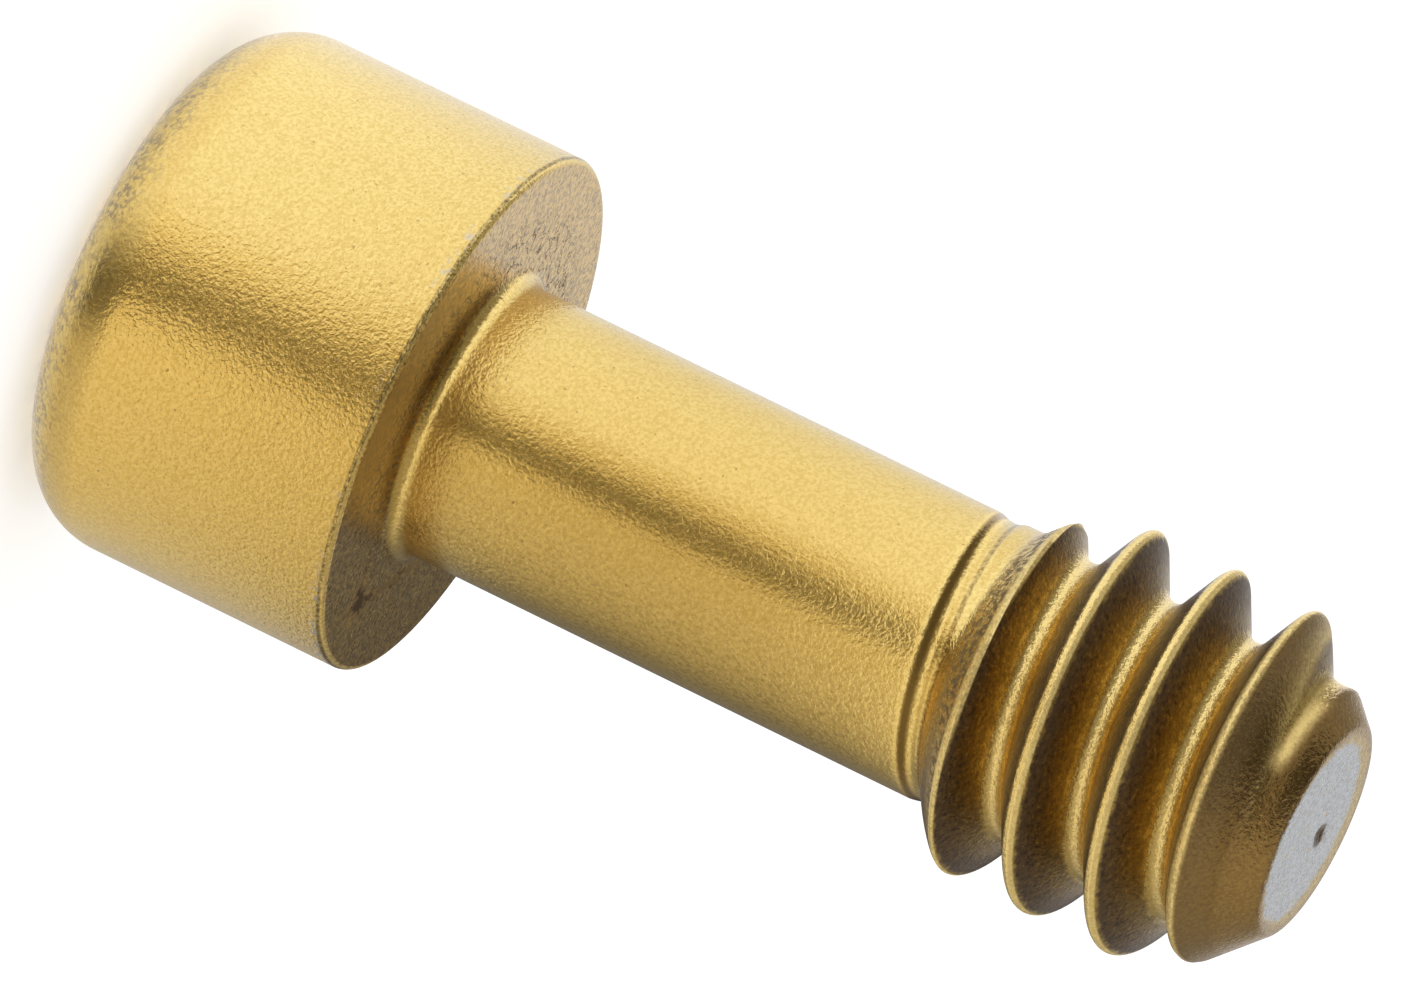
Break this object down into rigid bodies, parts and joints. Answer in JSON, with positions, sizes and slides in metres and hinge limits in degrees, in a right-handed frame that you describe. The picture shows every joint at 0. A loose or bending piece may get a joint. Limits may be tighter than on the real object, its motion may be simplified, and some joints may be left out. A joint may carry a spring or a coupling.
{
  "type": "bolt",
  "caption": "Miniature gold-coated bolt with a round socket head, a plain reduced shank and a short coarse right-hand thread with a chamfered tip.",
  "frame": {"origin": "centre of the drive face, the flat top of the head, on which the bolt stands", "axes": "+Z along the bolt's axis from the head to the tip; +X through a corner of the hexagon socket"},
  "size_m": [0.0022, 0.0022, 0.0051],
  "materials": {
    "gold_coat": "satin"
  },
  "bodies": {
    "root": {"bolt": "gold_coat"}
  },
  "joints": []
}
